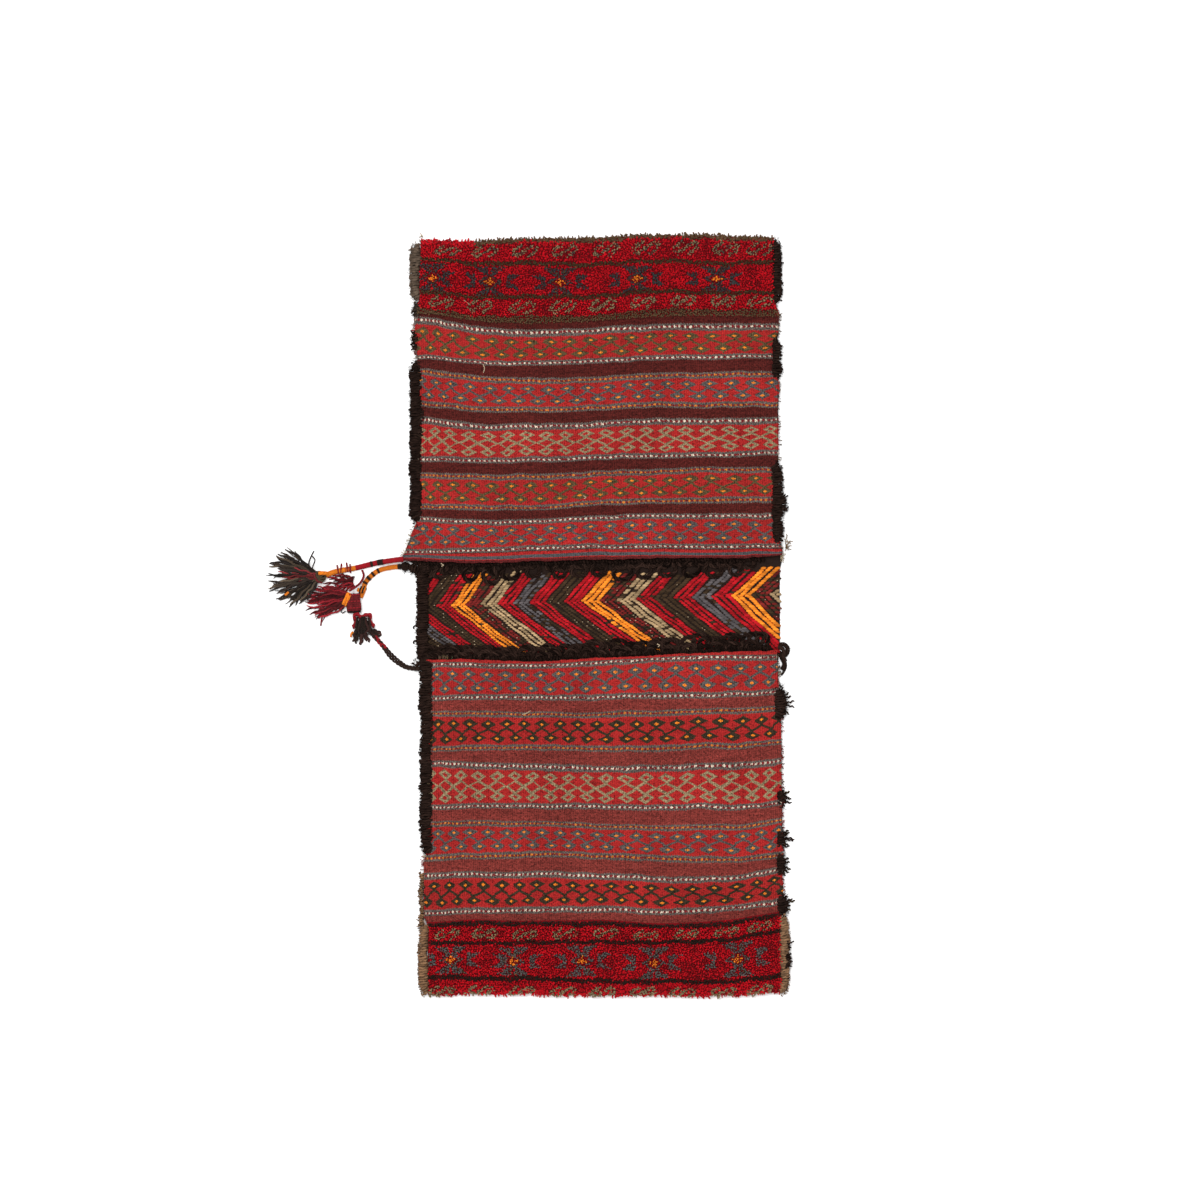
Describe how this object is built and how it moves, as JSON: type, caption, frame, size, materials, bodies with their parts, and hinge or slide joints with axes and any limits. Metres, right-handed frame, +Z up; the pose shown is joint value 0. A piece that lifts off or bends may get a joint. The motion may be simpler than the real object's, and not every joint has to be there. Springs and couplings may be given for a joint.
{
  "type": "kilim saddle bag",
  "caption": "Double saddle bag of striped woven wool lying flat, with a pocket at each end, a chevron bridge between them, looped mouths and tassels at one side.",
  "frame": {"origin": "on the ground under the woven back, in the middle of the bag's length", "axes": "+Z up out of the front of the bag as it lies, +Y along its length towards the upper pocket, +X to the right"},
  "size_m": [0.7494, 1.0845, 0.0211],
  "materials": {
    "woven_wool": "matte weave, banded in several colours",
    "goat_hair": "coarse plied black hair",
    "tan_wool": "coarse yarn, natural tan",
    "grey_wool": "coarse yarn, grey brown",
    "maroon_wool": "coarse yarn, dark red",
    "crimson_wool": "wrapped yarn, bright red",
    "orange_wool": "wrapped yarn, orange"
  },
  "bodies": {
    "root": {"woven_cloth": "woven_wool", "upper_left_dark_binding": "goat_hair", "upper_left_black_binding": "goat_hair", "bridge_left_binding": "goat_hair", "lower_left_black_binding": "goat_hair", "upper_right_top_binding": "goat_hair", "upper_right_middle_binding": "goat_hair", "upper_right_mouth_binding": "goat_hair", "right_tuft_1": "goat_hair", "right_tuft_2": "goat_hair", "right_tuft_3": "goat_hair", "right_tuft_4": "goat_hair", "right_tuft_5": "goat_hair", "upper_corner_knot": "goat_hair", "right_corner_loop": "goat_hair", "dark_tassel_cord": "goat_hair", "mini_tassel_head": "goat_hair", "mini_tassel_skirt": "goat_hair", "upper_left_tan_binding": "tan_wool", "lower_left_tan_binding": "tan_wool", "lower_right_tan_binding": "tan_wool", "upper_loop_01": "goat_hair", "upper_loop_02": "goat_hair", "upper_loop_03": "goat_hair", "upper_loop_04": "goat_hair", "upper_loop_05": "goat_hair", "upper_loop_06": "goat_hair", "upper_loop_07": "goat_hair", "upper_loop_08": "goat_hair", "upper_loop_09": "goat_hair", "upper_loop_10": "goat_hair", "upper_loop_11": "goat_hair", "upper_loop_12": "goat_hair", "upper_loop_13": "goat_hair", "upper_loop_14": "goat_hair", "upper_loop_15": "goat_hair", "lower_loop_01": "goat_hair", "lower_loop_02": "goat_hair", "lower_loop_03": "goat_hair", "lower_loop_04": "goat_hair", "lower_loop_05": "goat_hair", "lower_loop_06": "goat_hair", "lower_loop_07": "goat_hair", "lower_loop_08": "goat_hair", "lower_loop_09": "goat_hair", "lower_loop_10": "goat_hair", "lower_loop_11": "goat_hair", "lower_loop_12": "goat_hair", "lower_loop_13": "goat_hair", "lower_loop_14": "goat_hair", "lower_loop_15": "goat_hair", "grey_tassel_head": "grey_wool", "grey_tassel_skirt": "grey_wool", "maroon_tassel_head": "maroon_wool", "maroon_tassel_skirt": "maroon_wool", "red_tassel_cord": "crimson_wool", "small_red_loop": "crimson_wool", "orange_tassel_cord": "orange_wool", "maroon_tassel_band": "orange_wool"}
  },
  "joints": []
}
